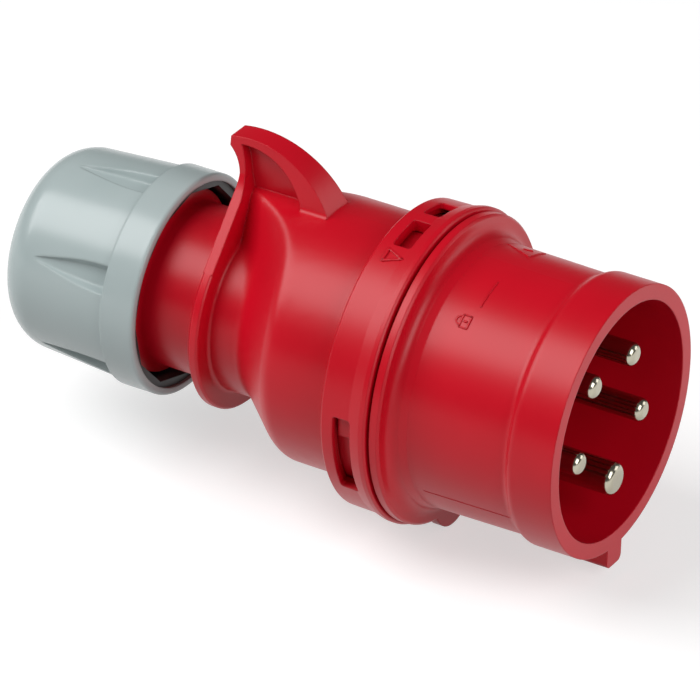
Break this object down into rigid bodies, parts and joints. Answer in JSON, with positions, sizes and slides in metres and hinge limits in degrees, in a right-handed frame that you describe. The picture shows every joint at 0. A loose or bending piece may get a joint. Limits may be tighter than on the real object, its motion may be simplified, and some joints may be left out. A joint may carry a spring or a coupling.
{
  "type": "industrial pin and sleeve plug",
  "caption": "Industrial cable plug with pins inside a round keyed shroud, a bayonet ring, a sloped rear housing with a thumb fin, and a screwed cable gland.",
  "frame": {"origin": "on the plug's axis, in the plane of the shroud's rim", "axes": "+X along the axis the way the pins go into the socket, +Z towards the thumb fin, the key at -Z"},
  "size_m": [0.1362, 0.067, 0.0754],
  "materials": {
    "red_polyamide": "satin moulded, red",
    "grey_polyamide": "satin moulded, grey",
    "black_polyamide": "satin moulded, black",
    "nickel_plated_brass": "bright nickel plate",
    "zinc_plated_steel": "zinc plated",
    "rubber": "matt, black"
  },
  "bodies": {
    "front": {"front_housing": "red_polyamide", "contact_carrier": "black_polyamide", "pin_earth": "nickel_plated_brass", "pin_l1": "nickel_plated_brass", "pin_l2": "nickel_plated_brass", "pin_l3": "nickel_plated_brass", "pin_neutral": "nickel_plated_brass", "terminal_screw_earth": "zinc_plated_steel", "terminal_screw_l1": "zinc_plated_steel", "terminal_screw_l2": "zinc_plated_steel", "terminal_screw_l3": "zinc_plated_steel", "terminal_screw_neutral": "zinc_plated_steel", "carrier_screw_1": "zinc_plated_steel", "carrier_screw_2": "zinc_plated_steel", "carrier_screw_3": "zinc_plated_steel", "housing_seal": "rubber"},
    "rear": {"rear_housing": "red_polyamide", "cable_grommet": "rubber", "clamp_cage": "grey_polyamide"},
    "gland_ring": {"slip_ring": "grey_polyamide"},
    "nut": {"gland_nut": "grey_polyamide", "nut_liner": "black_polyamide"}
  },
  "joints": [
    {"name": "twist_lock", "type": "hinge", "parent": "front", "child": "rear", "pos_m": [-0.046, 0, 0], "axis": [1, 0, 0], "range_deg": [-24, 0]},
    {"name": "gland_travel", "type": "slide", "parent": "rear", "child": "gland_ring", "axis": [1, 0, 0], "range_m": [-0.009, 0]},
    {"name": "nut_turn", "type": "hinge", "parent": "gland_ring", "child": "nut", "pos_m": [-0.118, 0, 0], "axis": [1, 0, 0], "range_deg": [-1080, 0]}
  ],
  "couplings": [
    {"joint": "gland_travel", "follows": "nut_turn", "m_per_rad": 0.00047746}
  ]
}
